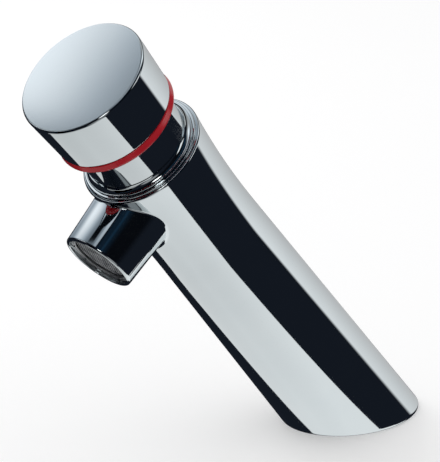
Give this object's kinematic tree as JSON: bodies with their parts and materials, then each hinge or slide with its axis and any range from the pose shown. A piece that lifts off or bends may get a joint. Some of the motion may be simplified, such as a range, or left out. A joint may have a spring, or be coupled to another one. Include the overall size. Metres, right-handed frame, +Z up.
{
  "type": "push timed tap",
  "caption": "Leaning chrome deck tap with a short angled spout, pressed by a large domed button with a red ring; a spring and piston cartridge closes it again.",
  "frame": {"origin": "mouth of the tail socket in the underside, where the leaning axis of the body meets the deck", "axes": "+Z up from the deck; the body leans and the spout reaches towards -Y; +X to the right of someone who faces the tap's back, which mirrors to itself"},
  "size_m": [0.0461, 0.1852, 0.1696],
  "materials": {
    "chrome": "polished chrome plate on brass, satin on the top of the button",
    "steel": "plain stainless steel",
    "spring_steel": "drawn stainless wire",
    "screen": "fine grey stainless screen",
    "brass": "turned brass",
    "rubber": "black moulded rubber",
    "white_plastic": "white acetal",
    "red_plastic": "glossy red plastic",
    "jewel": "small red jet"
  },
  "bodies": {
    "body": {"tap_body": "chrome", "base_gasket": "rubber", "inlet_filter": "rubber", "inlet_strainer": "steel", "seat_washer": "rubber", "cartridge_barrel": "brass", "cartridge_seal": "rubber", "valve_seat": "steel", "divider_seal": "rubber", "gland_nut": "brass", "gland_seal": "rubber", "head_seal": "rubber", "neck_sleeve": "chrome", "collar_ring": "chrome", "guide_ring": "white_plastic", "spring_washer": "steel", "return_spring": "spring_steel", "aerator_washer": "rubber", "aerator_shell": "chrome", "aerator_jets": "white_plastic", "aerator_screen": "screen", "aerator_clip": "steel"},
    "button": {"button_cap": "chrome", "colour_ring": "red_plastic", "push_rod": "steel", "lock_nut": "steel", "stop_clip": "steel", "piston_cup": "rubber", "timing_piston": "white_plastic", "bleed_jet": "jewel", "valve_washer": "rubber", "valve_disc": "brass", "valve_screw": "steel"}
  },
  "joints": [
    {"name": "button_press", "type": "slide", "parent": "body", "child": "button", "axis": [0, 0.6691, -0.7431], "range_m": [0, 0.009], "stiffness_N_per_m": 1800, "springref_m": -0.008, "deforming": ["return_spring"]}
  ]
}
